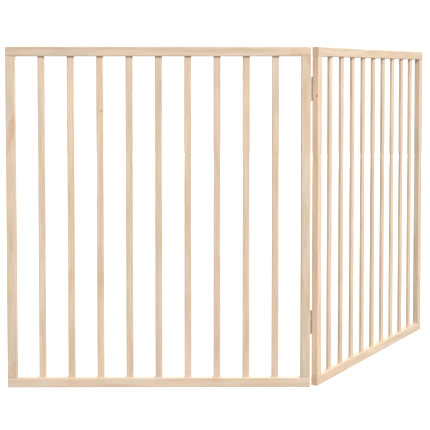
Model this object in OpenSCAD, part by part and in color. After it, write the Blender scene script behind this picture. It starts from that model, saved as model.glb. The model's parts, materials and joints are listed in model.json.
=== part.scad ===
// Free-standing pet gate: two slatted pine panels joined by a pair of butt hinges.
// The origin is the centre of the front panel's underside. X runs along the front panel towards
// the hinges, Y runs from its front face to its back, and Z is up.

/* [Panels] */
// Width of each panel over its end faces
panel_w = 800; // [500:10:1200]
// Height of each panel from the floor to its top
panel_h = 900; // [500:10:1300]
// Thickness of the rails and stiles, from the front face to the back
frame_t = 18; // [15:1:40]
// Height of the top and bottom rails
rail_h = 25; // [20:1:60]
// Width of the stiles
stile_w = 25; // [20:1:60]
// Rounding along the long edges of the rails and stiles
frame_ease = 2; // [0.5:0.25:3]
// Angle that the side panel is folded back from straight
fold_angle = 60; // [0:5:180]

/* [Slats] */
// Number of slats in each panel
slat_count = 9; // [3:1:14]
// Width of a slat's face
slat_w = 18.5; // [12:0.5:30]
// Thickness of a slat
slat_t = 8; // [5:0.5:12]
// Rounding along the long edges of a slat
slat_ease = 1.75; // [0.25:0.25:2]
// Depth that each end of a slat is let into its rail
slat_inset = 8; // [4:1:14]
// Gap on every side between a slat and its mortise
mortise_clearance = 0.1; // [0.05:0.05:0.5]
// Gap above a slat inside the top rail's mortise
mortise_end_gap = 1; // [0.5:0.5:4]

/* [Dowels] */
// Diameter of the dowels between the stiles and the rails
dowel_d = 6; // [4:0.5:8]
// Length of a dowel
dowel_l = 30; // [20:1:36]
// Distance between the two dowels of one corner
dowel_spacing = 12; // [9:0.5:14]
// Chamfer at a dowel's ends
dowel_chamfer = 1; // [0.5:0.25:1.5]
// Gap all round a dowel in its hole
dowel_clearance = 0.05; // [0.02:0.01:0.1]
// Gap above a dowel at the end of its upper hole
dowel_end_gap = 1; // [0.5:0.5:3]

/* [Hinges] */
// Length of each hinge along its pin
hinge_l = 63; // [50:1:100]
// Distance from the panels' top down to the upper hinge
upper_hinge_drop = 79; // [60:1:150]
// Distance from the floor up to the lower hinge
lower_hinge_rise = 138; // [60:1:200]
// Gap between the two panels' end faces when they stand in line
panel_gap = 3; // [2:0.5:6]
// Thickness of the hinge leaves
leaf_t = 1.5; // [1:0.1:2]
// Distance from the pin's axis to a leaf's outer edge
leaf_reach = 18; // [16:0.5:20]
// Radius of a leaf's outer corners
leaf_corner = 2; // [1:0.5:4]
// Number of knuckles, shared by turns between the two leaves
knuckle_count = 5; // [3:2:9]
// Gap between neighbouring knuckles along the pin
knuckle_gap = 0.2; // [0.1:0.05:0.5]
// Gap between a knuckle and the notch cut for it in the other leaf
notch_gap = 0.6; // [0.4:0.1:1]
// Diameter of the hinge pins
pin_d = 3; // [2:0.1:5]
// Running clearance between a pin and its knuckles, on the radius
pin_clearance = 0.05; // [0.02:0.01:0.1]
// Height of the spun head at each end of a pin
pin_head_h = 0.8; // [0.4:0.1:1.5]
// How far a spun head spreads past its pin, on the radius
pin_head_spread = 0.9; // [0.5:0.1:1.2]

/* [Screws] */
// Number of screws in each leaf
screws_per_leaf = 3; // [2:1:4]
// Diameter of a screw's shank
screw_d = 3.5; // [2.5:0.1:4]
// Diameter of a screw's countersunk head
screw_head_d = 6.4; // [5:0.1:6.8]
// Distance from the pin's axis to the line of screws
screw_line = 11.5; // [10:0.5:13]
// Distance from a leaf's end to its first screw
screw_end = 9; // [6:0.5:12]
// Wood left in front of a screw's point
screw_cover = 3.5; // [2:0.5:6]
// Length of a screw's point
screw_point = 4; // [2:0.5:6]
// Gap all round a screw's shank in the leaf and the wood
screw_clearance = 0.05; // [0.02:0.01:0.2]
// Gap past a screw's point at the end of its hole
screw_end_gap = 0.5; // [0.2:0.1:1]
// Width of the slots of a screw's cross recess
recess_w = 0.9; // [0.5:0.1:1.2]
// Span of the cross recess
recess_span = 3.4; // [2:0.1:4]
// Depth of the cross recess
recess_depth = 1.1; // [0.5:0.1:1.4]

/* [Hidden] */
$fn = 48;
// How far a cut runs past the face that it starts from
cut = 1;
slat_numbers = [1:slat_count];

rail_color = [0.88, 0.78, 0.67];
stile_color = [0.90, 0.81, 0.70];
slat_color = [0.91, 0.83, 0.73];
dowel_color = [0.80, 0.66, 0.48];
hinge_color = [0.74, 0.71, 0.67];
screw_color = [0.78, 0.77, 0.74];

// Slats are spread so that every gap between the stiles is the same.
stile_l = panel_h - 2 * rail_h;
inner_w = panel_w - 2 * stile_w;
slat_gap = (inner_w - slat_count * slat_w) / (slat_count + 1);
slat_l = stile_l + 2 * slat_inset;
stile_x = (panel_w - stile_w) / 2;

// The leaves lie on the panels' back faces and roll up into knuckles that touch that plane.
knuckle_r = pin_d / 2 + pin_clearance + leaf_t;
pin_x = (panel_w + panel_gap) / 2;
pin_y = frame_t / 2 + knuckle_r;
knuckle_l = (hinge_l - (knuckle_count - 1) * knuckle_gap) / knuckle_count;
upper_hinge_z = panel_h - upper_hinge_drop - hinge_l;
lower_hinge_z = lower_hinge_rise;
hinge_heights = [upper_hinge_z, lower_hinge_z];

// A screw reaches from its leaf's outer face almost through the stile.
screw_l = leaf_t + frame_t - screw_cover;
screw_r = screw_d / 2;
screw_head_r = screw_head_d / 2;
screw_head_h = screw_head_r - screw_r;
screw_pitch = (hinge_l - 2 * screw_end) / (screws_per_leaf - 1);
screw_heights = [for (i = [0:screws_per_leaf - 1]) screw_end + i * screw_pitch];

// Dowels stand half in the rail and half in the stile.
dowel_depth = dowel_l / 2;
dowel_bore_r = dowel_d / 2 + dowel_clearance;

function slat_x(i) = -inner_w / 2 + i * slat_gap + (i - 0.5) * slat_w;

// ---- Placing ----

// Puts a panel drawn about its own centre where the side panel stands.
module on_side_panel() {
    translate([pin_x, pin_y, 0])
        rotate([0, 0, fold_angle])
            translate([pin_x, -pin_y, 0])
                children();
}

// Puts what is drawn about a pin's lower end on the front panel's hinge line.
module on_front_hinge_line(z) {
    translate([pin_x, pin_y, z])
        children();
}

// The same on the side panel, where the leaf runs the other way from the pin.
module on_side_hinge_line(z) {
    translate([pin_x, pin_y, z])
        rotate([0, 0, fold_angle])
            mirror([1, 0, 0])
                children();
}

// ---- Wood ----

// A rectangle about the origin with rounded corners.
module eased_rectangle(width, depth, ease) {
    square([width - 2 * ease, depth], center = true);
    square([width, depth - 2 * ease], center = true);
    for (x = [-1, 1], y = [-1, 1])
        translate([x * (width / 2 - ease), y * (depth / 2 - ease)])
            circle(r = ease);
}

// A bar that stands on the origin with its four long edges rounded.
module upright_bar(width, depth, length, ease) {
    linear_extrude(height = length)
        eased_rectangle(width, depth, ease);
}

// A rail across the whole panel, its lower face at z = 0.
module rail_blank() {
    translate([-panel_w / 2, 0, rail_h / 2])
        rotate([0, 90, 0])
            upright_bar(rail_h, frame_t, panel_w, frame_ease);
}

// The places of the slats along a panel.
module at_slats() {
    for (i = slat_numbers)
        translate([slat_x(i), 0, 0])
            children();
}

// The places of the dowels at one end of one stile.
module at_stile_dowels() {
    for (side = [-1, 1])
        translate([side * dowel_spacing / 2, 0, 0])
            children();
}

// The places of the dowels along a rail.
module at_rail_dowels() {
    for (end = [-1, 1])
        translate([end * stile_x, 0, 0])
            at_stile_dowels()
                children();
}

// A hole that starts just under z = 0 and rises to the given depth.
module dowel_hole(depth) {
    translate([0, 0, -cut])
        cylinder(r = dowel_bore_r, h = depth + cut);
}

// A mortise that starts just under z = 0 and rises to the given depth.
module mortise(depth) {
    translate([0, 0, -cut])
        upright_bar(
            slat_w + 2 * mortise_clearance,
            slat_t + 2 * mortise_clearance,
            depth + cut,
            slat_ease
        );
}

module top_rail() {
    translate([0, 0, panel_h - rail_h])
        difference() {
            rail_blank();
            at_slats()
                mortise(slat_inset + mortise_end_gap);
            at_rail_dowels()
                dowel_hole(dowel_depth + dowel_end_gap);
        }
}

module bottom_rail() {
    difference() {
        rail_blank();
        translate([0, 0, rail_h])
            mirror([0, 0, 1]) {
                at_slats()
                    mortise(slat_inset);
                at_rail_dowels()
                    dowel_hole(dowel_depth);
            }
    }
}

// A stile between the rails, centred on x = 0.
module plain_stile() {
    translate([0, 0, rail_h])
        difference() {
            upright_bar(stile_w, frame_t, stile_l, frame_ease);
            at_stile_dowels()
                dowel_hole(dowel_depth + dowel_end_gap);
            translate([0, 0, stile_l])
                mirror([0, 0, 1])
                    at_stile_dowels()
                        dowel_hole(dowel_depth);
        }
}

// The holes in a stile for the screws of both hinges, about the pins' axis.
module screw_pilots() {
    depth = screw_l - leaf_t + screw_end_gap;
    for (z = hinge_heights)
        translate([0, 0, z])
            at_leaf_screws() {
                translate([0, 0, -depth])
                    cylinder(r = screw_r + screw_clearance, h = depth + cut);
                screw_head(screw_clearance);
            }
}

// A slat standing in the bottom rail's mortise, centred on x = 0.
module slat() {
    translate([0, 0, rail_h - slat_inset])
        upright_bar(slat_w, slat_t, slat_l, slat_ease);
}

module dowel() {
    cylinder(r1 = dowel_d / 2 - dowel_chamfer, r2 = dowel_d / 2, h = dowel_chamfer);
    translate([0, 0, dowel_chamfer])
        cylinder(d = dowel_d, h = dowel_l - 2 * dowel_chamfer);
    translate([0, 0, dowel_l - dowel_chamfer])
        cylinder(r1 = dowel_d / 2, r2 = dowel_d / 2 - dowel_chamfer, h = dowel_chamfer);
}

// The eight dowels of one panel, each standing on the floor of its lower hole.
module panel_dowels() {
    for (joint = [rail_h, panel_h - rail_h])
        translate([0, 0, joint - dowel_depth])
            at_rail_dowels()
                dowel();
}

// ---- Hinge hardware, drawn about a pin's lower end with the leaf towards -X ----

// A leaf's plate as seen from behind, with its outer corners rounded.
module leaf_outline() {
    inner = knuckle_r + notch_gap;
    translate([-leaf_reach + leaf_corner, 0])
        square([leaf_reach - leaf_corner - inner, hinge_l]);
    translate([-leaf_reach, leaf_corner])
        square([leaf_reach - inner, hinge_l - 2 * leaf_corner]);
    for (z = [leaf_corner, hinge_l - leaf_corner])
        translate([-leaf_reach + leaf_corner, z])
            circle(r = leaf_corner);
}

// One knuckle and the neck that joins it to the plate, before the pin's hole is made.
module knuckle_blank() {
    cylinder(r = knuckle_r, h = knuckle_l);
    translate([-knuckle_r - notch_gap - cut, -knuckle_r, 0])
        cube([knuckle_r + notch_gap + cut, leaf_t, knuckle_l]);
}

// Puts what is drawn upright on the stile's back face at each screw of one leaf.
module at_leaf_screws() {
    for (height = screw_heights)
        translate([-screw_line, -knuckle_r, height])
            rotate([-90, 0, 0])
                children();
}

// The cone of a countersunk head, flush with the leaf's outer face, with room all round it.
module screw_head(room) {
    translate([0, 0, leaf_t - screw_head_h])
        cylinder(r1 = screw_r + room, r2 = screw_head_r + room, h = screw_head_h);
}

// A screw hole through the leaf and its countersink, about the hole's axis.
module leaf_screw_hole() {
    translate([0, 0, -cut])
        cylinder(r = screw_r + screw_clearance, h = leaf_t + 2 * cut);
    screw_head(0);
}

// A leaf with every second knuckle, from the one numbered first.
module hinge_leaf(first) {
    difference() {
        union() {
            translate([0, -knuckle_r + leaf_t, 0])
                rotate([90, 0, 0])
                    linear_extrude(height = leaf_t)
                        leaf_outline();
            for (i = [first:2:knuckle_count - 1])
                translate([0, 0, i * (knuckle_l + knuckle_gap)])
                    knuckle_blank();
        }
        translate([0, 0, -cut])
            cylinder(r = pin_d / 2 + pin_clearance, h = hinge_l + 2 * cut);
        at_leaf_screws()
            leaf_screw_hole();
    }
}

// The head is a short drum with a bevelled rim, widest where it meets the knuckle.
module pin_head() {
    head_r = pin_d / 2 + pin_head_spread;
    cylinder(r = head_r, h = pin_head_h / 2);
    translate([0, 0, pin_head_h / 2])
        cylinder(r1 = head_r, r2 = head_r - pin_head_h / 2, h = pin_head_h / 2);
}

module hinge_pin() {
    cylinder(d = pin_d, h = hinge_l);
    translate([0, 0, hinge_l])
        pin_head();
    mirror([0, 0, 1])
        pin_head();
}

// A countersunk screw with its head's top at the leaf's outer face.
module wood_screw() {
    shank_l = screw_l - screw_head_h - screw_point;
    difference() {
        union() {
            screw_head(0);
            translate([0, 0, leaf_t - screw_head_h - shank_l])
                cylinder(r = screw_r, h = shank_l);
            translate([0, 0, leaf_t - screw_l])
                cylinder(r1 = 0, r2 = screw_r, h = screw_point);
        }
        for (turn = [0, 90])
            rotate([0, 0, turn])
                translate([-recess_span / 2, -recess_w / 2, leaf_t - recess_depth])
                    cube([recess_span, recess_w, recess_depth + cut]);
    }
}

// ---- Front panel ----

module front_top_rail() {
    color(rail_color)
        top_rail();
}

module front_bottom_rail() {
    color(rail_color)
        bottom_rail();
}

module front_outer_stile() {
    color(stile_color)
        translate([-stile_x, 0, 0])
            plain_stile();
}

module front_hinge_stile() {
    color(stile_color)
        difference() {
            translate([stile_x, 0, 0])
                plain_stile();
            on_front_hinge_line(0)
                screw_pilots();
        }
}

module front_slat(i) {
    color(slat_color)
        translate([slat_x(i), 0, 0])
            slat();
}

module front_dowels() {
    color(dowel_color)
        panel_dowels();
}

// ---- Side panel ----

module side_top_rail() {
    color(rail_color)
        on_side_panel()
            top_rail();
}

module side_bottom_rail() {
    color(rail_color)
        on_side_panel()
            bottom_rail();
}

module side_outer_stile() {
    color(stile_color)
        on_side_panel()
            translate([stile_x, 0, 0])
                plain_stile();
}

module side_hinge_stile() {
    color(stile_color)
        difference() {
            on_side_panel()
                translate([-stile_x, 0, 0])
                    plain_stile();
            on_side_hinge_line(0)
                screw_pilots();
        }
}

// Slat 1 is the one nearest the hinges.
module side_slat(i) {
    color(slat_color)
        on_side_panel()
            translate([slat_x(i), 0, 0])
                slat();
}

module side_dowels() {
    color(dowel_color)
        on_side_panel()
            panel_dowels();
}

// ---- Hinges ----

module upper_hinge_front_leaf() {
    color(hinge_color)
        on_front_hinge_line(upper_hinge_z)
            hinge_leaf(0);
}

module upper_hinge_side_leaf() {
    color(hinge_color)
        on_side_hinge_line(upper_hinge_z)
            hinge_leaf(1);
}

module upper_hinge_pin() {
    color(hinge_color)
        on_front_hinge_line(upper_hinge_z)
            hinge_pin();
}

module upper_front_screws() {
    color(screw_color)
        on_front_hinge_line(upper_hinge_z)
            at_leaf_screws()
                wood_screw();
}

module upper_side_screws() {
    color(screw_color)
        on_side_hinge_line(upper_hinge_z)
            at_leaf_screws()
                wood_screw();
}

module lower_hinge_front_leaf() {
    color(hinge_color)
        on_front_hinge_line(lower_hinge_z)
            hinge_leaf(0);
}

module lower_hinge_side_leaf() {
    color(hinge_color)
        on_side_hinge_line(lower_hinge_z)
            hinge_leaf(1);
}

module lower_hinge_pin() {
    color(hinge_color)
        on_front_hinge_line(lower_hinge_z)
            hinge_pin();
}

module lower_front_screws() {
    color(screw_color)
        on_front_hinge_line(lower_hinge_z)
            at_leaf_screws()
                wood_screw();
}

module lower_side_screws() {
    color(screw_color)
        on_side_hinge_line(lower_hinge_z)
            at_leaf_screws()
                wood_screw();
}

front_top_rail();
front_bottom_rail();
front_outer_stile();
front_hinge_stile();
for (i = slat_numbers) front_slat(i);
front_dowels();
side_top_rail();
side_bottom_rail();
side_outer_stile();
side_hinge_stile();
for (i = slat_numbers) side_slat(i);
side_dowels();
upper_hinge_front_leaf();
upper_hinge_side_leaf();
upper_hinge_pin();
upper_front_screws();
upper_side_screws();
lower_hinge_front_leaf();
lower_hinge_side_leaf();
lower_hinge_pin();
lower_front_screws();
lower_side_screws();
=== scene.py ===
"""Looks of a free-standing pine pet gate: two slatted panels on butt hinges.

Everything is in metres unless a comment says otherwise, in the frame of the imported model: X along the
front panel, Y from its front to its back, Z up. Every board is a mesh of its own, drawn about its
centre with local X along the grain, local Y from its front face to its back and local Z across its
face, so that the wood's pattern follows the board however it stands.
"""

import json
import math
import random
from typing import NamedTuple

import bmesh
import bpy
from mathutils import Matrix, Vector


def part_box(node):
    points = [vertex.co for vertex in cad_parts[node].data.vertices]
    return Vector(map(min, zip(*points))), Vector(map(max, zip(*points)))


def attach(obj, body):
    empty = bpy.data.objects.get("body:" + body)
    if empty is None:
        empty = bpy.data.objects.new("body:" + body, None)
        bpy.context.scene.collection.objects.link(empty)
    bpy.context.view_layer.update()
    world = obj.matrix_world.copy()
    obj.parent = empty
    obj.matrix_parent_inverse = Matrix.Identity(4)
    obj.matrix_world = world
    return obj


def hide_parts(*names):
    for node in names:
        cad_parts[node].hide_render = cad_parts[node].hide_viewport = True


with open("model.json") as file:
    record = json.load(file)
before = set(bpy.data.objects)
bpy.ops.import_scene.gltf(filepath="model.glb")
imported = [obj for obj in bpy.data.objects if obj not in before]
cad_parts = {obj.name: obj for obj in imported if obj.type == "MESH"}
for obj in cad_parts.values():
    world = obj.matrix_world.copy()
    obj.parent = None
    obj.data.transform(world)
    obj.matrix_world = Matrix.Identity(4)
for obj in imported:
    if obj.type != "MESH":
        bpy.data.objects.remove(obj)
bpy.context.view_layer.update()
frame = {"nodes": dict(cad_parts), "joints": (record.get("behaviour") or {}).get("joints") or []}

MM = 0.001
X, Z = Vector((1, 0, 0)), Vector((0, 0, 1))
PANELS = ("front", "side")
SLATS = range(1, 1 + sum(name.startswith("front_slat_") for name in frame["nodes"]))

# The side panel is a like panel, turned about the pins from straight, which is its joint's lower limit.
FOLD = frame["joints"][0]
PIN = Vector(FOLD["pos_m"])
REST_FOLD = math.radians(-FOLD["range_deg"][0])
PANEL_PLACE = {
    "front": Matrix.Identity(4),
    "side": Matrix.Translation(PIN)
    @ Matrix.Rotation(REST_FOLD, 4, "Z")
    @ Matrix.Translation((PIN.x, -PIN.y, 0)),
}


# ---- Node trees ----


class Tree:
    """Short ways to add nodes to one node tree and link them."""

    def __init__(self, tree):
        self.tree = tree

    def node(self, kind, **settings):
        made = self.tree.nodes.new(kind)
        for name, value in settings.items():
            setattr(made, name, value)
        return made

    def put(self, socket, value):
        """Links an output to a socket, or sets the socket to a plain value."""
        if isinstance(value, bpy.types.NodeSocket):
            self.tree.links.new(value, socket)
        else:
            socket.default_value = value

    def math(self, operation, *values, clamp=False):
        made = self.node("ShaderNodeMath", operation=operation, use_clamp=clamp)
        for socket, value in zip(made.inputs, values):
            self.put(socket, value)
        return made.outputs[0]

    def product(self, first, *others):
        """All the values multiplied."""
        for value in others:
            first = self.math("MULTIPLY", first, value)
        return first

    def total(self, start, *terms):
        """start, and for each term (value, factor) the value times its factor, added up."""
        for value, factor in terms:
            start = self.math("MULTIPLY_ADD", value, factor, start)
        return start

    def vector(self, operation, *values):
        made = self.node("ShaderNodeVectorMath", operation=operation)
        for socket, value in zip(made.inputs, values):
            self.put(socket, value)
        return made.outputs["Vector"]

    def length(self, vector):
        made = self.node("ShaderNodeVectorMath", operation="LENGTH")
        self.put(made.inputs[0], vector)
        return made.outputs["Value"]

    def split(self, vector):
        made = self.node("ShaderNodeSeparateXYZ")
        self.put(made.inputs[0], vector)
        return made.outputs

    def join(self, x, y, z):
        made = self.node("ShaderNodeCombineXYZ")
        for socket, value in zip(made.inputs, (x, y, z)):
            self.put(socket, value)
        return made.outputs[0]

    def place_mm(self):
        """Where a point lies in its object's own frame, in millimetres."""
        place = self.node("ShaderNodeTexCoord").outputs["Object"]
        return self.vector("MULTIPLY", place, (1 / MM,) * 3)

    def noise(self, vector, detail=2.0, roughness=0.5, scale=1.0):
        """Noise from 0 to 1 with a feature about every unit of the vector."""
        made = self.node("ShaderNodeTexNoise")
        settings = {"Vector": vector, "Scale": scale, "Detail": detail, "Roughness": roughness}
        for name, value in settings.items():
            self.put(made.inputs[name], value)
        return made.outputs

    def ramp(self, value, low, high, out_low=0.0, out_high=1.0):
        """value carried smoothly from low..high to out_low..out_high, and held at both ends."""
        made = self.node("ShaderNodeMapRange", interpolation_type="SMOOTHSTEP")
        for socket, number in zip(made.inputs, (value, low, high, out_low, out_high)):
            self.put(socket, number)
        return made.outputs[0]

    def mix(self, factor, a, b, blend="MIX"):
        """Colour a, with colour b over it by factor."""
        made = self.node("ShaderNodeMix", data_type="RGBA", blend_type=blend)
        for name, value in (("Factor_Float", factor), ("A_Color", a), ("B_Color", b)):
            self.put(next(s for s in made.inputs if s.identifier == name), value)
        return next(s for s in made.outputs if s.identifier == "Result_Color")

    def shaded(self, base, shade):
        """The base colour made lighter or darker: multiplied by shade in all its channels."""
        return self.mix(1.0, base, self.join(shade, shade, shade), blend="MULTIPLY")


def colour(red, green, blue):
    return (red, green, blue, 1.0)


WHITE = colour(1, 1, 1)


def new_material(name):
    """An empty material with its shader: (material, its tree, the shader)."""
    material = bpy.data.materials.new(name)
    material.use_nodes = True
    material.node_tree.nodes.clear()
    tree = Tree(material.node_tree)
    shader = tree.node("ShaderNodeBsdfPrincipled")
    output = tree.node("ShaderNodeOutputMaterial")
    tree.put(output.inputs["Surface"], shader.outputs[0])
    return material, tree, shader


def add_bump(tree, shader, height, depth, strength):
    """Raises the shader's surface by height, from 0 to 1, times depth."""
    bump = tree.node("ShaderNodeBump")
    bump.inputs["Strength"].default_value = strength
    bump.inputs["Distance"].default_value = depth
    tree.put(bump.inputs["Height"], height)
    tree.put(shader.inputs["Normal"], bump.outputs[0])


def add_object(name, data):
    made = bpy.data.objects.new(name, data)
    bpy.context.scene.collection.objects.link(made)
    return made


# ---- Camera, light and floor ----

# The photograph was taken from well in front, a little right of the front panel's middle and near the
# gate's top, with its frame lowered by a lens shift. The views from other angles keep the shift, so
# here it is smaller and the camera looks down a little for the rest.
CAMERA_AT = Vector((0.1331, -3.0572, 0.8263))
CAMERA_DOWN = math.radians(2.66)
CAMERA_RIGHT = math.radians(0.286)
CAMERA_SEES = 200
LENS_MM = 97.49
SENSOR_MM = 36.0
SHIFT_DOWN = 0.2

# A soft light high on the right in front, and a weaker one low behind the gate, on its back faces.
LIGHT_AIM = (0.2, 0.2, 0.45)
KEY_AT = (6.08, -7.06, 8.0)
KEY_SIZE = 3.2
KEY_POWER = 1195
BACK_AT = (0.8, 9.2, 0.9)
BACK_SIZE = 4.0
BACK_POWER = 260

# The surroundings' light at the horizon and at the ceiling, its share on the far left and its share at
# the back. Each changes over a span of the direction's own up, right or back component.
ROOM_LIGHT = 0.75
CEILING_LIGHT = 0.85
LEFT_SHARE = 0.45
BACK_SHARE = 1.5
UP_SPAN = (0.0, 0.9)
RIGHT_SPAN = (-1.0, -0.35)
BACK_SPAN = (0.3, 0.8)

FLOOR_SIZE = 120
FLOOR_GREY = colour(0.30, 0.30, 0.30)
FLOOR_GLOW = 0.85


def add_camera():
    data = bpy.data.cameras.new("camera")
    data.sensor_width = SENSOR_MM
    data.lens = LENS_MM
    data.shift_y = -SHIFT_DOWN
    data.clip_end = CAMERA_SEES
    camera = add_object("camera", data)
    camera.location = CAMERA_AT
    camera.rotation_euler = (math.radians(90) - CAMERA_DOWN, 0, -CAMERA_RIGHT)
    bpy.context.scene.camera = camera


def add_area_light(name, at, size, power):
    data = bpy.data.lights.new(name, "AREA")
    data.shape = "DISK"
    data.size = size
    data.energy = power
    light = add_object(name, data)
    light.location = at
    light.rotation_euler = (Vector(LIGHT_AIM) - Vector(at)).to_track_quat("-Z", "Y").to_euler()


def add_surroundings():
    """White surroundings, which the camera sees brighter than they light the gate."""
    world = bpy.data.worlds.new("white_room")
    world.use_nodes = True
    world.node_tree.nodes.clear()
    tree = Tree(world.node_tree)
    seen = tree.node("ShaderNodeLightPath").outputs["Is Camera Ray"]
    right, back, up = tree.split(tree.node("ShaderNodeTexCoord").outputs["Generated"])
    strength = tree.product(
        tree.ramp(up, *UP_SPAN, ROOM_LIGHT, CEILING_LIGHT),
        tree.ramp(right, *RIGHT_SPAN, LEFT_SHARE, 1.0),
        tree.ramp(back, *BACK_SPAN, 1.0, BACK_SHARE),
    )
    background = tree.node("ShaderNodeBackground")
    background.inputs["Color"].default_value = WHITE
    tree.put(background.inputs["Strength"], tree.math("MAXIMUM", strength, seen))
    tree.put(tree.node("ShaderNodeOutputWorld").inputs["Surface"], background.outputs[0])
    bpy.context.scene.world = world


def add_floor():
    """A floor that looks white to the camera, and lights the gate from below only as a grey one does."""
    bpy.ops.mesh.primitive_plane_add(size=FLOOR_SIZE)
    floor = bpy.context.object
    floor.name = "floor"
    material, tree, shader = new_material("white_floor")
    shader.inputs["Base Color"].default_value = FLOOR_GREY
    shader.inputs["Roughness"].default_value = 0.9
    shader.inputs["Specular IOR Level"].default_value = 0.1
    shader.inputs["Emission Color"].default_value = WHITE
    seen = tree.node("ShaderNodeLightPath").outputs["Is Camera Ray"]
    tree.put(shader.inputs["Emission Strength"], tree.math("MULTIPLY", seen, FLOOR_GLOW))
    floor.data.materials.append(material)


def add_studio():
    bpy.context.scene.view_settings.view_transform = "Standard"
    add_surroundings()
    add_area_light("key", KEY_AT, KEY_SIZE, KEY_POWER)
    add_area_light("back", BACK_AT, BACK_SIZE, BACK_POWER)
    add_floor()


# ---- Pine ----

# All lengths in the wood's patterns are in millimetres.

CREAM_WOOD = colour(0.715, 0.598, 0.475)
PINK_WOOD = colour(0.712, 0.530, 0.408)
TAN_WOOD = colour(0.690, 0.535, 0.350)
LATE_WOOD = colour(0.600, 0.385, 0.235)
BAND_WOOD = colour(0.665, 0.430, 0.268)
KNOT_WOOD = colour(0.300, 0.145, 0.075)

# How much of each colour shows where its pattern is strongest.
TAN_AMOUNT = 0.8
LATE_AMOUNT = 0.42
END_TAN_AMOUNT = 0.4

# How long and how wide each pattern's features are.
WAVER_SIZE = (260, 40)
TONE_SIZE = (230, 6)
PATCH_SIZE = (120, 14)
RUB_SIZE = (35, 9)
FIBRE_SIZE = (28, 0.45)
CANAL_SIZE = (14, 0.35)

# How far the rings waver, and by how many rings they differ from an even spacing.
WAVER = 5
UNEVEN_RINGS = 1.6

# Where each pattern comes in: over these values of its noise, of the face's direction along the board
# for end grain, and of the distance from a long edge for the rubbed edges.
CANAL_SPAN = (0.69, 0.76)
TONE_SPAN = (0.36, 0.64)
END_SPAN = (0.6, 0.9)
RUB_SPAN = (0.2, 1.8)

# How far a board's pink and tan move to either side of its own value.
TONE_SWING = 0.6

# Bump depth and gloss of the finished boards.
PINE_RELIEF = 0.25 * MM
PINE_SPECULAR = 0.35

PINE_INPUTS = {
    "Pith": "NodeSocketVector",
    "Lean": "NodeSocketVector",
    "Half Size": "NodeSocketVector",
    "Ring": "NodeSocketFloat",
    "Seed": "NodeSocketFloat",
    "Pink": "NodeSocketFloat",
    "Tan": "NodeSocketFloat",
    "Shade": "NodeSocketFloat",
    "Band": "NodeSocketFloat",
    "Swell": "NodeSocketFloat",
    "Knot": "NodeSocketFloat",
}
PINE_OUTPUTS = {
    "Color": "NodeSocketColor",
    "Roughness": "NodeSocketFloat",
    "Height": "NodeSocketFloat",
}


class Grain(NamedTuple):
    """The patterns that pine is mixed from. All run from 0 to 1."""

    late: object  # the dark late wood of each ring
    ring_shade: object  # each ring's own shade
    fibre: object
    canals: object  # resin canals, which show as short dark lines
    pink_tone: object  # broad pink areas
    tan_tone: object  # broad tan areas
    patches: object  # lighter and darker areas
    end: object  # 1 on end grain
    rubbed: object  # eased long edges


def growth_rings(tree, given, board, waver):
    """The late wood's pattern and each ring's own shade.

    The rings are cylinders about a pith line beside the board. Where a face lies square to the line
    from the pith the rings run into arches, and elsewhere they show as straight lines.
    """
    waver = tree.vector("MULTIPLY", tree.vector("SUBTRACT", waver, (0.5, 0.5, 0.5)), (0, WAVER, WAVER))
    x, y, z = tree.split(tree.vector("ADD", board, waver))
    pith, lean = tree.split(given["Pith"]), tree.split(given["Lean"])
    off_y = tree.math("SUBTRACT", y, tree.math("MULTIPLY_ADD", x, lean[1], pith[1]))
    off_z = tree.math("SUBTRACT", z, tree.math("MULTIPLY_ADD", x, lean[2], pith[2]))
    radius = tree.math("ADD", tree.length(tree.join(0.0, off_y, off_z)), given["Swell"])
    rings = tree.math("DIVIDE", radius, given["Ring"])
    slow = tree.join(tree.math("MULTIPLY", rings, 0.45), given["Seed"], 0.0)
    rings = tree.total(rings, (tree.noise(slow, detail=1.0)["Fac"], UNEVEN_RINGS))
    own = tree.node("ShaderNodeTexWhiteNoise", noise_dimensions="1D")
    tree.put(own.inputs["W"], tree.math("ADD", tree.math("FLOOR", rings), given["Seed"]))
    ring_shade = own.outputs["Value"]
    phase = tree.math("FRACT", rings)
    # A ring darkens slowly and ends sharply, in some rings more than in others.
    late = tree.product(
        tree.ramp(phase, 0.35, 0.93),
        tree.ramp(phase, 0.94, 1.0, 1.0, 0.0),
        tree.ramp(ring_shade, 0.0, 1.0, 0.35, 1.0),
    )
    return late, ring_shade


def read_grain(tree, given):
    """All the patterns at a point of the board."""
    board = tree.place_mm()
    seed = tree.join(given["Seed"], tree.math("MULTIPLY", given["Seed"], 1.7), given["Seed"])

    def streaks(size, **settings):
        """Noise with features about as long and as wide as size says."""
        along, across = size
        scaled = tree.vector("MULTIPLY", board, (1 / along, 1 / across, 1 / across))
        return tree.noise(tree.vector("ADD", scaled, seed), **settings)

    late, ring_shade = growth_rings(tree, given, board, streaks(WAVER_SIZE)["Color"])
    normal = tree.split(tree.node("ShaderNodeTexCoord").outputs["Normal"])
    end = tree.ramp(tree.math("ABSOLUTE", normal[0]), *END_SPAN)
    not_end = tree.math("SUBTRACT", 1.0, end)
    # The larger of the distances to a front or back face and to a side is small only at a long edge.
    from_face = tree.split(tree.vector("SUBTRACT", given["Half Size"], tree.vector("ABSOLUTE", board)))
    near_edge = tree.ramp(tree.math("MAXIMUM", from_face[1], from_face[2]), *RUB_SPAN, 1.0, 0.0)
    tones = tree.split(streaks(TONE_SIZE, detail=1.5)["Color"])
    return Grain(
        late=late,
        ring_shade=ring_shade,
        fibre=streaks(FIBRE_SIZE, detail=3.0, roughness=0.65)["Fac"],
        canals=tree.ramp(streaks(CANAL_SIZE, detail=1.0)["Fac"], *CANAL_SPAN),
        pink_tone=tones[0],
        tan_tone=tones[1],
        patches=streaks(PATCH_SIZE)["Fac"],
        end=end,
        rubbed=tree.product(near_edge, streaks(RUB_SIZE)["Fac"], not_end),
    )


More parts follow.
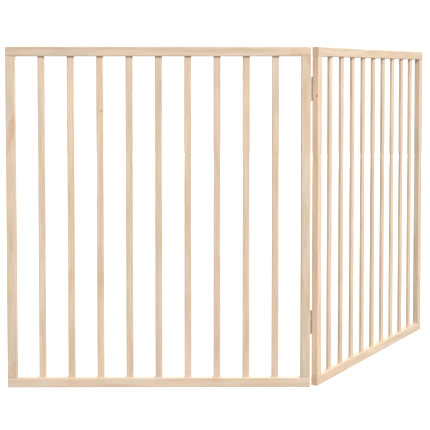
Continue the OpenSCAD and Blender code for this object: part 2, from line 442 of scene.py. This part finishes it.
def pine_colour(tree, given, grain):
    """The board's pink and tan tones, then late wood, bands, end grain, shade and knots over them."""
    pink_here = tree.ramp(grain.pink_tone, *TONE_SPAN, -TONE_SWING, TONE_SWING)
    tan_here = tree.ramp(grain.tan_tone, *TONE_SPAN, -TONE_SWING, TONE_SWING)
    pink = tree.math("ADD", pink_here, given["Pink"], clamp=True)
    tan = tree.math("ADD", tan_here, given["Tan"], clamp=True)
    band = tree.math("MULTIPLY", given["Band"], tree.ramp(grain.fibre, 0.2, 0.8, 0.5, 1.0))
    pine = tree.mix(pink, CREAM_WOOD, PINK_WOOD)
    pine = tree.mix(tree.math("MULTIPLY", tan, TAN_AMOUNT), pine, TAN_WOOD)
    pine = tree.mix(tree.math("MULTIPLY", grain.late, LATE_AMOUNT), pine, LATE_WOOD)
    pine = tree.mix(band, pine, BAND_WOOD)
    pine = tree.mix(tree.math("MULTIPLY", grain.end, END_TAN_AMOUNT), pine, TAN_WOOD)
    # Each pattern makes the wood a little lighter or darker.
    shade = tree.product(
        tree.total(0.95, (grain.ring_shade, 0.10)),
        given["Shade"],
        tree.ramp(grain.patches, 0.3, 0.7, 0.93, 1.07),
        tree.ramp(grain.fibre, 0.25, 0.75, 0.95, 1.05),
        tree.total(1.0, (grain.canals, -0.16)),
        tree.total(1.0, (grain.rubbed, 0.10)),
    )
    return tree.mix(given["Knot"], tree.shaded(pine, shade), KNOT_WOOD)


def pine_group():
    """One node group that turns a board's own coordinates into pine."""
    group = bpy.data.node_groups.new("pine_grain", "ShaderNodeTree")
    for in_out, sockets in (("INPUT", PINE_INPUTS), ("OUTPUT", PINE_OUTPUTS)):
        for name, kind in sockets.items():
            group.interface.new_socket(name, in_out=in_out, socket_type=kind)
    tree = Tree(group)
    given = tree.node("NodeGroupInput").outputs
    result = tree.node("NodeGroupOutput").inputs
    grain = read_grain(tree, given)
    late, fibre, knot = grain.late, grain.fibre, given["Knot"]
    # Fibre and end grain are rougher, late wood and knots smoother and raised. Canals are pits.
    roughness = tree.total(0.50, (fibre, 0.16), (late, -0.10), (grain.end, 0.14), (knot, -0.12))
    height = tree.total(0.0, (fibre, 0.5), (late, 0.35), (grain.canals, -0.4), (knot, 0.5))
    tree.put(result["Color"], pine_colour(tree, given, grain))
    tree.put(result["Roughness"], roughness)
    tree.put(result["Height"], height)
    return group


class Knot(NamedTuple):
    """A knot. It runs through the face, or from side to side if it is in a side."""

    along: float
    across: float
    radius: float
    in_side: bool = False
    strength: float = 0.75


# How a knot swells the rings round it and how it darkens the wood: from and to where, and by how much,
# in its own radii, and how many times longer than wide that is.
SWELL_FROM, SWELL_TO, SWELL_HEIGHT, SWELL_STRETCH = 0.5, 4.5, 1.6, 3.2
DARK_FROM, DARK_TO, DARK_STRETCH = 0.45, 1.15, 1.5


class Band(NamedTuple):
    """A broad stripe where a face cuts a growth ring at a low angle.

    Its borders are given where they meet the line edge across the face. Away from that line each sinks
    along the board by its lean, and the upper one by droop at the distance BAND_REACH, as an arch does.
    """

    edge: float
    top: float
    foot: float
    top_lean: float = 0.0
    foot_lean: float = 0.0
    droop: float = 60.0
    fade: float = 8.0
    strength: float = 0.6


BAND_REACH = 25.0
# How far a band's borders wander along the board, and over what its upper border fades in.
BAND_WANDER = 16.0
BAND_TOP_SPAN = (-3.0, 5.0)


def add_knots(tree, knots):
    """How far the rings swell round a board's knots, and how much of a knot shows."""
    x, y, z = tree.split(tree.place_mm())
    ragged = tree.noise(tree.join(tree.math("MULTIPLY", x, 0.3), y, z), scale=0.6)["Fac"]
    ragged = tree.math("SUBTRACT", ragged, 0.5)
    swell, shown = 0.0, 0.0
    for knot in knots:
        off_x = tree.math("SUBTRACT", x, knot.along)
        off_z = tree.math("SUBTRACT", y if knot.in_side else z, knot.across)
        off = tree.join(off_x, off_z, 0.0)
        swell_at = tree.length(tree.vector("MULTIPLY", off, (1 / SWELL_STRETCH, 1, 1)))
        dark_at = tree.length(tree.vector("MULTIPLY", off, (1 / DARK_STRETCH, 1, 1)))
        dark_at = tree.total(dark_at, (ragged, knot.radius))
        swell_from, swell_to, swell_height, dark_from, dark_to = (
            knot.radius * radii for radii in (SWELL_FROM, SWELL_TO, SWELL_HEIGHT, DARK_FROM, DARK_TO)
        )
        swell = tree.math("ADD", swell, tree.ramp(swell_at, swell_from, swell_to, swell_height, 0.0))
        shown = tree.math("MAXIMUM", shown, tree.ramp(dark_at, dark_from, dark_to, knot.strength, 0.0))
    return swell, shown


def add_bands(tree, bands):
    """How much of a board's broad bands shows."""
    place = tree.place_mm()
    x, y, z = tree.split(place)
    wander = tree.noise(tree.vector("MULTIPLY", place, (0.03, 0.12, 0.12)))["Fac"]
    along = tree.total(x, (tree.math("SUBTRACT", wander, 0.5), BAND_WANDER))
    shown = 0.0
    for band in bands:
        away = tree.math("ABSOLUTE", tree.math("SUBTRACT", z, band.edge))
        arch = tree.math("POWER", tree.math("DIVIDE", away, BAND_REACH), 4.0)
        top = tree.total(band.top, (away, -band.top_lean), (arch, -band.droop))
        foot = tree.total(band.foot, (away, -band.foot_lean))
        below_top = tree.ramp(tree.math("SUBTRACT", top, along), *BAND_TOP_SPAN)
        above_foot = tree.ramp(tree.math("SUBTRACT", along, foot), 0.0, band.fade)
        here = tree.product(below_top, above_foot, band.strength)
        shown = tree.math("MAXIMUM", shown, here)
    return shown


def pine_material(name, half_size, look):
    """Pine for one board. look holds what sets this board apart from the others."""
    material, tree, shader = new_material(name)
    wood = tree.node("ShaderNodeGroup", node_tree=PINE)
    wood.inputs["Pith"].default_value = (0, *look["pith"])
    wood.inputs["Lean"].default_value = (0, *look["lean"])
    wood.inputs["Half Size"].default_value = half_size / MM
    for value in ("Ring", "Seed", "Pink", "Tan", "Shade"):
        wood.inputs[value].default_value = look[value.lower()]
    if look["bands"]:
        tree.put(wood.inputs["Band"], add_bands(tree, look["bands"]))
    if look["knots"]:
        swell, knot = add_knots(tree, look["knots"])
        tree.put(wood.inputs["Swell"], swell)
        tree.put(wood.inputs["Knot"], knot)
    tree.put(shader.inputs["Base Color"], wood.outputs["Color"])
    tree.put(shader.inputs["Roughness"], wood.outputs["Roughness"])
    add_bump(tree, shader, wood.outputs["Height"], PINE_RELIEF, strength=0.5)
    shader.inputs["Specular IOR Level"].default_value = PINE_SPECULAR
    return material


# What sets some boards apart: how pink and how tan they are, from 0 to 1, how light they are against
# the others, where their pith lies, and their knots and bands.
# Flat-sawn boards have their pith behind the face, so their rings run into arches.
FLAT_SAWN = {"pith": (34, 3), "lean": (0.012, 0.003)}
SPECIAL = {
    "front_top_rail": {
        "pink": 0.85,
        "tan": 0.15,
        "shade": 0.96,
        "knots": [Knot(367, -15, 3.2)],
        "bands": [Band(edge=-12, top=378, foot=338, fade=15, strength=0.5)],
        **FLAT_SAWN,
    },
    "front_bottom_rail": {
        "pink": 0.35,
        "tan": 0.1,
        "shade": 1.04,
        "knots": [Knot(-226, -16, 3.5)],
        "bands": [
            Band(edge=-12, top=-206, foot=-248, fade=10, strength=0.45),
            Band(edge=4, top=160, foot=130, fade=20, strength=0.3),
        ],
    },
    "front_outer_stile": {
        "pink": 0.1,
        "tan": 0.3,
        "shade": 1.02,
        "knots": [Knot(321, 0, 1.8, in_side=True)],
        "bands": [
            Band(edge=-12.5, top=266, foot=228, foot_lean=3.3, droop=90, strength=0.8),
            Band(edge=-12.5, top=-380, foot=-440, strength=0.55),
        ],
        **FLAT_SAWN,
    },
    "front_hinge_stile": {
        "pink": 0.1,
        "tan": 0.25,
        "bands": [
            Band(edge=-12.5, top=440, foot=386, foot_lean=-1.9, strength=0.85),
            Band(edge=12.5, top=-146, foot=-186, top_lean=3.2, foot_lean=3.2, droop=0),
        ],
        **FLAT_SAWN,
    },
    "side_hinge_stile": {
        "pink": 0.45,
        "tan": 0.3,
        "shade": 1.07,
        "knots": [Knot(321, -4.8, 3.0, in_side=True)],
    },
    "side_outer_stile": {"pink": 0.5, "knots": [Knot(-281, -6, 1.8, in_side=True)]},
    "side_top_rail": {"shade": 0.97},
    "front_slat_1": {"pink": 0.2, "knots": [Knot(321, -2, 1.8, in_side=True)]},
    "front_slat_2": {"pink": 0.4, "bands": [Band(edge=0, top=-137, foot=-250, droop=600, fade=110)]},
    "front_slat_3": {
        "tan": 0.3,
        "knots": [Knot(281, -4.5, 3.6, strength=0.45)],
        "bands": [Band(edge=0, top=-143, foot=-260, droop=600, fade=120)],
    },
    "front_slat_4": {"tan": 0.2, "shade": 0.975},
    "front_slat_5": {"tan": 0.3, "shade": 0.95},
    "front_slat_6": {"shade": 1.015, "bands": [Band(edge=0, top=-203, foot=-250, strength=0.4)]},
    "front_slat_7": {"shade": 0.97},
    "front_slat_8": {"shade": 0.985},
    "front_slat_9": {"bands": [Band(edge=-9.3, top=184, foot=152, top_lean=1.5, foot_lean=-1.0)]},
    "side_slat_1": {
        "pink": 0.5,
        "tan": 0.15,
        "bands": [Band(edge=9.3, top=384, foot=310, top_lean=20, fade=30, strength=0.5)],
    },
    "side_slat_3": {"pink": 0.5, "bands": [Band(edge=9.3, top=362, foot=300, top_lean=20, fade=20)]},
    "side_slat_5": {"pink": 0.75, "tan": 0.6, "shade": 0.97},
    "side_slat_6": {
        "pink": 0.5,
        "bands": [Band(edge=9.3, top=285, foot=215, top_lean=20, fade=15, strength=0.8)],
    },
    "side_slat_8": {
        "pink": 0.6,
        "bands": [Band(edge=9.3, top=410, foot=355, top_lean=20, fade=20, strength=0.5)],
    },
}


def board_look(name):
    """A board's own pith, lean, ring width and colour, the same each time for its name."""
    chance = random.Random(name)
    look = {
        "pith": (chance.uniform(-40, 40), chance.choice((-1, 1)) * chance.uniform(25, 70)),
        "lean": (chance.uniform(-0.02, 0.02), chance.uniform(-0.01, 0.01)),
        "ring": chance.uniform(1.8, 3.6),
        "seed": chance.uniform(0, 90),
        "pink": chance.uniform(0.15, 0.6),
        "tan": chance.uniform(0.0, 0.5),
        "shade": chance.uniform(0.96, 1.03),
        "knots": [],
        "bands": [],
    }
    look.update(SPECIAL.get(name, {}))
    return look


# ---- Boards ----

FRAME_EASE = 2.0 * MM
SLAT_EASE = 1.75 * MM
STILE_END_EASE = 1.9 * MM
SQUARE_END_EASE = 0.6 * MM
ARC_STEPS = 5
CORNERS = ((1, 1), (-1, 1), (-1, -1), (1, -1))
SHARP_ANGLE = math.radians(40)

# The joints inside the gate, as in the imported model.
MORTISE_CLEARANCE = 0.1 * MM
MORTISE_END_GAP = 1.0 * MM
DOWEL_HOLE_RADIUS = 3.05 * MM
DOWEL_SPACING = 12.0 * MM
DOWEL_DEPTH = 15.0 * MM
DOWEL_END_GAP = 1.0 * MM

# A pocket is cut out of a cell of the bar's face that is larger than it by this margin all round.
POCKET_MARGIN = 0.3 * MM
# Two directions whose cosine is above this count as the same.
SAME_WAY = 0.9999

UPRIGHT = Matrix.Rotation(math.radians(-90), 4, "Y")
LEVEL = Matrix.Identity(4)


def rounded_outline(half_a, half_b, ease):
    """Points round a rectangle with rounded corners, in order."""
    points = []
    for corner, (side_a, side_b) in enumerate(CORNERS):
        for step in range(ARC_STEPS + 1):
            angle = math.radians(90) * (corner + step / ARC_STEPS)
            centre = Vector((side_a * (half_a - ease), side_b * (half_b - ease)))
            points.append(centre + ease * Vector((math.cos(angle), math.sin(angle))))
    return points


def face_at(mesh, centre, normal, *axes):
    """The face with this normal that spans centre along both axes."""
    for face in mesh.faces:
        if face.normal.dot(normal) <= SAME_WAY:
            continue
        offsets = [vert.co - centre for vert in face.verts]
        reach = [[offset.dot(axis) for offset in offsets] for axis in axes]
        if all(min(along) < 0 < max(along) for along in reach):
            return face


def sink(mesh, centre, normal, u, half_u, half_v, ease, depth):
    """Sinks a pocket with rounded corners into the flat face of a bar that centre lies on."""
    v = normal.cross(u)
    for axis, half in ((u, half_u), (v, half_v)):
        for side in (-1, 1):
            face = face_at(mesh, centre, normal, u, v)
            cut_at = centre + side * (half + POCKET_MARGIN) * axis
            around = [face, *face.edges, *face.verts]
            bmesh.ops.bisect_plane(mesh, geom=around, plane_co=cut_at, plane_no=axis)
            mesh.normal_update()
    cell = face_at(mesh, centre, normal, u, v)
    corners = [max(cell.verts, key=lambda vert: (vert.co - centre).dot(a * u + b * v)) for a, b in CORNERS]
    mesh.faces.remove(cell)
    rim = [centre + a * u + b * v for a, b in rounded_outline(half_u, half_v, ease)]
    base = [mesh.verts.new(point - depth * normal) for point in rim]
    rim = [mesh.verts.new(point) for point in rim]
    for i in range(len(rim)):
        j = (i + 1) % len(rim)
        corner, next_corner = corners[i // (ARC_STEPS + 1)], corners[j // (ARC_STEPS + 1)]
        past_corner = () if next_corner is corner else (next_corner,)
        mesh.faces.new((rim[i], rim[j], base[j], base[i]))
        mesh.faces.new((corner, rim[i], rim[j], *past_corner))
    mesh.faces.new(base)
    mesh.normal_update()


def board_mesh(name, length, depth, width, ease, end_ease, pockets):
    """A bar about the origin along X, with its long edges and its ends rounded."""
    mesh = bmesh.new()
    stations = []
    for step in range(ARC_STEPS):
        angle = math.radians(90) * step / (ARC_STEPS - 1)
        stations.append((length / 2 - end_ease * (1 - math.sin(angle)), end_ease * (1 - math.cos(angle))))
    rings = []
    for along, inset in [(-x, i) for x, i in reversed(stations)] + stations:
        outline = rounded_outline(depth / 2 - inset, width / 2 - inset, ease - inset)
        rings.append([mesh.verts.new((along, y, z)) for y, z in outline])
    count = len(rings[0])
    for before, after in zip(rings, rings[1:]):
        for i in range(count):
            j = (i + 1) % count
            mesh.faces.new((before[i], before[j], after[j], after[i]))
    mesh.faces.new(rings[0][::-1])
    mesh.faces.new(rings[-1])
    bmesh.ops.recalc_face_normals(mesh, faces=mesh.faces)
    for pocket in pockets:
        sink(mesh, *pocket)
    bmesh.ops.recalc_face_normals(mesh, faces=mesh.faces)
    made = bpy.data.meshes.new(name)
    mesh.to_mesh(made)
    mesh.free()
    made.shade_smooth()
    made.set_sharp_from_angle(angle=SHARP_ANGLE)
    return made


def dowel_pocket(centre, normal, u, depth):
    radius = DOWEL_HOLE_RADIUS
    return centre, normal, u, radius, radius, radius, depth


def rail_pockets(low, high):
    """The slats' mortises and the dowels' holes in a front rail whose box is low to high.

    Slats and dowels stand on the bottom of theirs, so each end gap is at the top.
    """
    middle = (low + high) / 2
    top = low.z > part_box("front_outer_stile")[0].z
    normal = -Z if top else Z
    face = Vector((0, 0, (low.z if top else high.z) - middle.z))
    pockets = []
    for i in SLATS:
        slat_low, slat_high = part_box(f"front_slat_{i}")
        half = (slat_high - slat_low) / 2
        depth = slat_high.z - low.z + MORTISE_END_GAP if top else high.z - slat_low.z
        centre = face + ((slat_low + slat_high) / 2 - middle).x * X
        half_x, half_y = half.x + MORTISE_CLEARANCE, half.y + MORTISE_CLEARANCE
        pockets.append((centre, normal, X, half_x, half_y, SLAT_EASE, depth))
    depth = DOWEL_DEPTH + (DOWEL_END_GAP if top else 0)
    for stile in ("front_outer_stile", "front_hinge_stile"):
        stile_low, stile_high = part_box(stile)
        for side in (-1, 1):
            x = (stile_low.x + stile_high.x) / 2 - middle.x + side * DOWEL_SPACING / 2
            pockets.append(dowel_pocket(face + x * X, normal, X, depth))
    return pockets


def stile_pockets(low, high):
    """The dowels' holes in the ends of a stile whose box is low to high."""
    length = high.z - low.z
    pockets = []
    for end, end_gap in ((-1, DOWEL_END_GAP), (1, 0)):
        for side in (-1, 1):
            centre = end * length / 2 * X + side * DOWEL_SPACING / 2 * Z
            pockets.append(dowel_pocket(centre, end * X, Z, DOWEL_DEPTH + end_gap))
    return pockets


def add_board(node, panel, like, ease, slot, pockets=()):
    """The board that stands for a CAD node. like is the front panel's node in the same place."""
    low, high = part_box(like)
    size = high - low
    upright = size.z > size.x
    length, width = (size.z, size.x) if upright else (size.x, size.z)
    name = f"{node}_board"
    end_ease = STILE_END_EASE if slot == "pine_stile" else SQUARE_END_EASE
    board = add_object(name, board_mesh(name, length, size.y, width, ease, end_ease, pockets))
    turn = UPRIGHT if upright else LEVEL
    board.matrix_world = PANEL_PLACE[panel] @ Matrix.Translation((low + high) / 2) @ turn
    true_faces = board.modifiers.new("true_faces", "WEIGHTED_NORMAL")
    true_faces.keep_sharp = True
    half_size = Vector((length, size.y, width)) / 2
    board.data.materials.append(pine_material(name, half_size, board_look(node)))
    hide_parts(node)
    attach(board, f"{panel}_panel")


# On the side panel the stile at the hinges stands where the front panel has its outer stile.
SIDE_LIKE = {"hinge_stile": "front_outer_stile", "outer_stile": "front_hinge_stile"}


def add_panel(panel):
    for piece in ("top_rail", "bottom_rail"):
        like = f"front_{piece}"
        pockets = rail_pockets(*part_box(like))
        add_board(f"{panel}_{piece}", panel, like, FRAME_EASE, "pine_rail", pockets)
    for piece in ("outer_stile", "hinge_stile"):
        like = SIDE_LIKE[piece] if panel == "side" else f"front_{piece}"
        pockets = stile_pockets(*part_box(like))
        add_board(f"{panel}_{piece}", panel, like, FRAME_EASE, "pine_stile", pockets)
    for i in SLATS:
        add_board(f"{panel}_slat_{i}", panel, f"front_slat_{i}", SLAT_EASE, "pine_slat")


# ---- Dowels and hardware ----

BEECH = colour(0.60, 0.40, 0.24)
BEECH_FLECK = colour(0.48, 0.29, 0.16)
LEAF_ZINC = colour(0.52, 0.51, 0.49)
PIN_ZINC = colour(0.50, 0.49, 0.47)
SCREW_ZINC = colour(0.63, 0.62, 0.60)

# How many of the plating's grains there are to a millimetre.
LEAF_GRAINS = 1.6
SMALL_GRAINS = 3.0

BEECH_RELIEF = 0.1 * MM
ZINC_RELIEF = 0.05 * MM
ZINC_METALLIC = 0.6
LEAF_EASE = 0.15 * MM
EASED_ANGLE = math.radians(50)


def dowel_material():
    """Turned beech: fine flecks along the dowel and a slight variation."""
    material, tree, shader = new_material("beech_dowel")
    flecks = tree.noise(tree.vector("MULTIPLY", tree.place_mm(), (1.4, 1.4, 0.35)), detail=3.0)["Fac"]
    beech = tree.mix(tree.ramp(flecks, 0.35, 0.7), BEECH, BEECH_FLECK)
    tree.put(shader.inputs["Base Color"], beech)
    tree.put(shader.inputs["Roughness"], tree.total(0.5, (flecks, 0.2)))
    add_bump(tree, shader, flecks, BEECH_RELIEF, strength=1.0)
    return material


def zinc_material(name, base, grains_per_mm):
    """Zinc-plated steel: faint clouding, fine grains and scratches."""
    material, tree, shader = new_material(name)
    place = tree.place_mm()
    cloud = tree.noise(tree.vector("MULTIPLY", place, (0.18, 0.18, 0.12)), detail=4.0)["Fac"]
    grains = tree.noise(tree.vector("MULTIPLY", place, (grains_per_mm,) * 3), detail=1.0)["Fac"]
    scratches = tree.noise(tree.vector("MULTIPLY", place, (9, 9, 0.25)))["Fac"]
    cloud_shade = tree.ramp(cloud, 0.3, 0.7, 0.86, 1.05)
    grain_shade = tree.ramp(grains, 0.3, 0.7, 0.97, 1.03)
    metal = tree.shaded(base, tree.product(cloud_shade, grain_shade))
    tree.put(shader.inputs["Base Color"], metal)
    tree.put(shader.inputs["Roughness"], tree.total(0.26, (cloud, 0.22), (scratches, 0.12)))
    add_bump(tree, shader, tree.total(scratches, (grains, 0.4)), ZINC_RELIEF, strength=0.4)
    shader.inputs["Metallic"].default_value = ZINC_METALLIC
    return material


def dress_cad_node(node, material, ease=None):
    """A CAD node that is shown as it is, with its material and, if ease is given, rounded edges."""
    piece = frame["nodes"][node]
    piece.data.materials.clear()
    piece.data.materials.append(material)
    if ease:
        bevel = piece.modifiers.new("eased_edges", "BEVEL")
        bevel.width = ease
        bevel.segments = 2
        bevel.limit_method = "ANGLE"
        bevel.angle_limit = EASED_ANGLE


def dress_hardware():
    dowel = dowel_material()
    leaf = zinc_material("zinc_leaf", LEAF_ZINC, LEAF_GRAINS)
    pin = zinc_material("zinc_pin", PIN_ZINC, SMALL_GRAINS)
    screw = zinc_material("zinc_screw", SCREW_ZINC, SMALL_GRAINS)
    for panel in PANELS:
        dress_cad_node(f"{panel}_dowels", dowel)
    for place in ("upper", "lower"):
        dress_cad_node(f"{place}_hinge_pin", pin)
        for panel in PANELS:
            dress_cad_node(f"{place}_hinge_{panel}_leaf", leaf, LEAF_EASE)
            dress_cad_node(f"{place}_{panel}_screws", screw)


# ---- Putting it together ----

add_camera()
add_studio()
PINE = pine_group()
for panel in PANELS:
    add_panel(panel)
dress_hardware()
